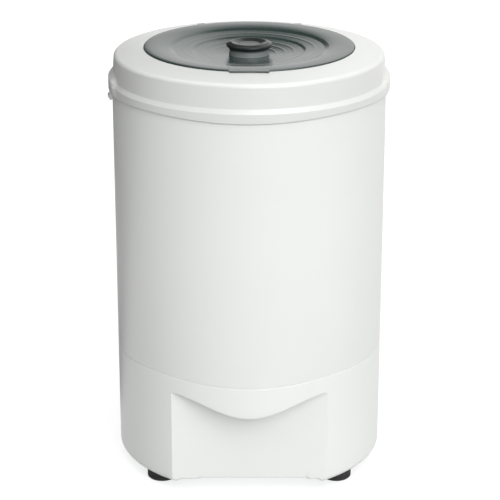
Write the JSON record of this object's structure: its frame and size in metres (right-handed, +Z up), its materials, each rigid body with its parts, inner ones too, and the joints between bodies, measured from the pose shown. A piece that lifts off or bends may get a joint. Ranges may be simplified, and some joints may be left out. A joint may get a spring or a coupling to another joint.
{
  "type": "laundry spin dryer",
  "caption": "Upright round laundry spin dryer with a hinged smoked lid, a perforated basket in a water tub, and a braked motor on rubber buffers.",
  "frame": {"origin": "floor level, on the basket's axis of rotation", "axes": "+Z up along the basket's axis, front panel facing -Y, +X to the right of someone facing the front"},
  "size_m": [0.3656, 0.362, 0.5705],
  "materials": {
    "white_plastic": "satin moulded",
    "smoked_plastic": "glossy smoked, slightly see-through",
    "dark_plastic": "glossy",
    "grey_plastic": "moulded",
    "black_plastic": "moulded",
    "black_rubber": "matte",
    "grey_rubber": "matte",
    "zinc_steel": "zinc plated",
    "polished_steel": "polished",
    "cast_aluminium": "as cast",
    "iron_laminate": "stacked sheets",
    "copper_wire": "enamelled wire",
    "brake_lining": "rough friction lining"
  },
  "bodies": {
    "cabinet": {"base_shell": "white_plastic", "base_plate": "zinc_steel", "foot_1": "black_rubber", "foot_2": "black_rubber", "foot_3": "black_rubber", "foot_4": "black_rubber", "foot_screw_1": "zinc_steel", "foot_screw_2": "zinc_steel", "foot_screw_3": "zinc_steel", "foot_screw_4": "zinc_steel", "body_shell": "white_plastic", "collar": "white_plastic", "collar_screw_1": "zinc_steel", "collar_screw_2": "zinc_steel", "hinge_bracket_left": "grey_plastic", "hinge_bracket_right": "grey_plastic", "hinge_pin_left": "polished_steel", "hinge_pin_right": "polished_steel", "lid_seal": "grey_rubber", "lid_interlock": "black_plastic", "tub": "grey_plastic", "tub_cover": "grey_plastic", "tub_seal": "grey_rubber", "shaft_bellows": "black_rubber", "drain_hose": "black_rubber", "drain_spout": "black_plastic", "capacitor": "grey_plastic", "capacitor_strap": "zinc_steel", "cable_gland": "black_rubber", "brake_cable": "black_plastic", "cable_clip": "black_plastic", "suspension_buffer_1": "black_rubber", "suspension_buffer_2": "black_rubber", "suspension_buffer_3": "black_rubber"},
    "lid": {"lid": "smoked_plastic", "lid_knob": "dark_plastic", "knob_screw": "zinc_steel"},
    "plunger": {"lid_plunger": "white_plastic"},
    "motor": {"motor_bracket": "zinc_steel", "motor_lower_cover": "cast_aluminium", "motor_upper_cover": "cast_aluminium", "stator_core": "iron_laminate", "winding_lower": "copper_wire", "winding_upper": "copper_wire", "tie_bolt_1": "zinc_steel", "tie_bolt_2": "zinc_steel", "tie_bolt_3": "zinc_steel", "lower_bearing": "polished_steel", "upper_bearing": "polished_steel", "brake_post": "zinc_steel"},
    "drum": {"rotor": "iron_laminate", "motor_shaft": "polished_steel", "brake_drum": "cast_aluminium", "spin_basket": "polished_steel", "balance_ring": "grey_plastic", "basket_hub": "grey_plastic", "hub_nut": "zinc_steel"},
    "brake": {"brake_lever": "zinc_steel", "brake_pad": "brake_lining"}
  },
  "joints": [
    {"name": "lid_hinge", "type": "hinge", "parent": "cabinet", "child": "lid", "pos_m": [0, 0.146, 0.554], "axis": [-1, 0, 0], "range_deg": [0, 100]},
    {"name": "suspension_bounce", "type": "slide", "parent": "cabinet", "child": "motor", "axis": [0, 0, 1], "range_m": [-0.003, 0.003], "stiffness_N_per_m": 60000, "springref_m": 0.0016, "deforming": ["suspension_buffer_1", "suspension_buffer_2", "suspension_buffer_3"]},
    {"name": "drum_spin", "type": "hinge", "parent": "motor", "child": "drum", "pos_m": [0, 0, 0.16], "axis": [0, 0, 1], "continuous": true},
    {"name": "brake_turn", "type": "hinge", "parent": "motor", "child": "brake", "pos_m": [-0.033, -0.048, 0.16], "axis": [0, 0, 1], "range_deg": [0, 4]},
    {"name": "plunger_slide", "type": "slide", "parent": "cabinet", "child": "plunger", "axis": [0, 0, 1], "range_m": [0, 0.003]}
  ],
  "couplings": [
    {"joint": "brake_turn", "follows": "lid_hinge", "ratio": 0.0399},
    {"joint": "plunger_slide", "follows": "lid_hinge", "m_per_rad": 0.0017}
  ]
}
